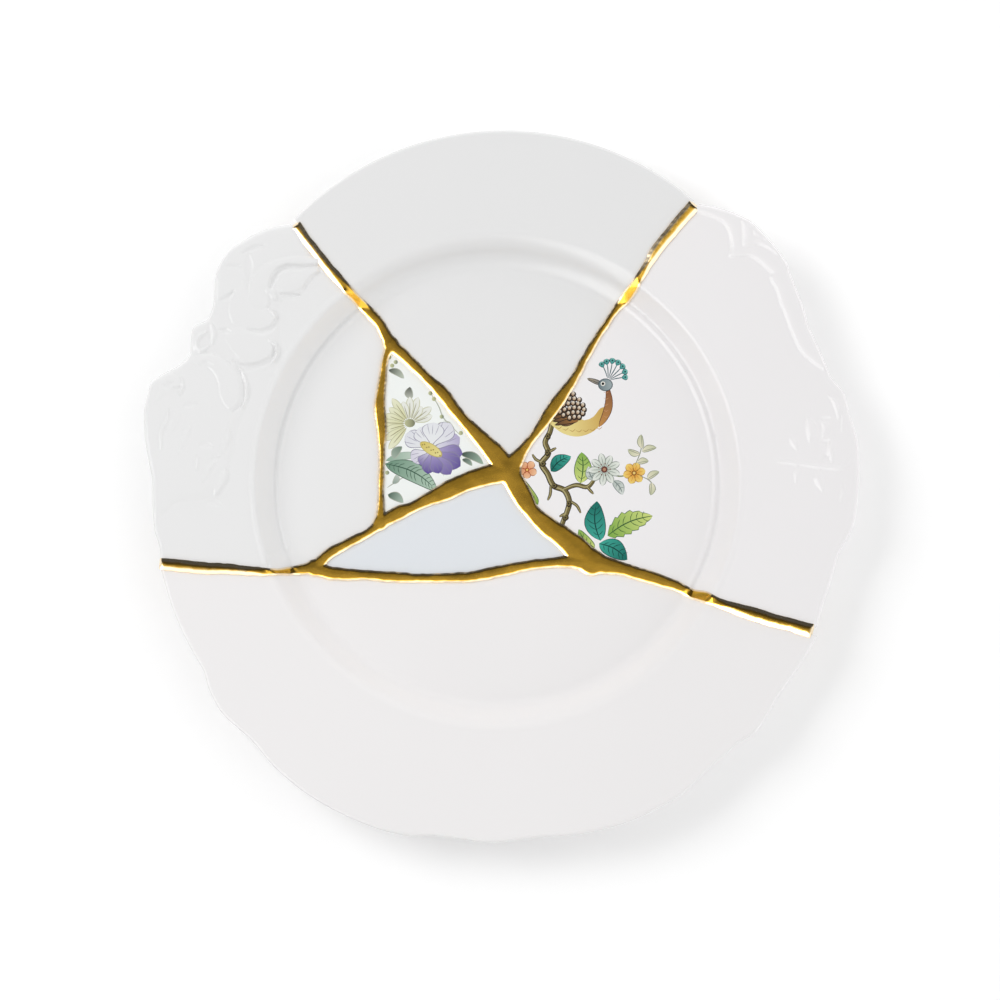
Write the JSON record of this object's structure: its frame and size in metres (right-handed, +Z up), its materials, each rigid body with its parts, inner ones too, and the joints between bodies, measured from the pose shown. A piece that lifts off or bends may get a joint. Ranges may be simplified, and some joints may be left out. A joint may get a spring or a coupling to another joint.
{
  "type": "kintsugi plate",
  "caption": "Decorative dinner plate pieced together from shards of different porcelain plates, joined by raised gold seams.",
  "frame": {"origin": "middle of the plate's bounding box, on the plane that its foot ring stands on", "axes": "+Z up out of the well, +X to the right and +Y away from the viewer, with the plain round shard at +Y and the printed shard at +X"},
  "size_m": [0.2758, 0.2748, 0.022],
  "materials": {
    "grey_white_glaze": "glossy greyish white porcelain glaze",
    "carved_white_glaze": "glossy white porcelain glaze over carved relief",
    "warm_white_glaze": "glossy warm white porcelain glaze",
    "printed_white_glaze": "glossy white porcelain glaze with a printed bird and flowers",
    "floral_glaze": "glossy, faintly green white glaze with printed flowers",
    "blue_white_glaze": "glossy, faintly blue white glaze",
    "gold": "burnished gold powder over lacquer"
  },
  "bodies": {
    "root": {"top_shard": "grey_white_glaze", "left_shard": "carved_white_glaze", "bottom_shard": "warm_white_glaze", "right_shard": "printed_white_glaze", "floral_shard": "floral_glaze", "centre_shard": "blue_white_glaze", "gold_seams": "gold"}
  },
  "joints": []
}
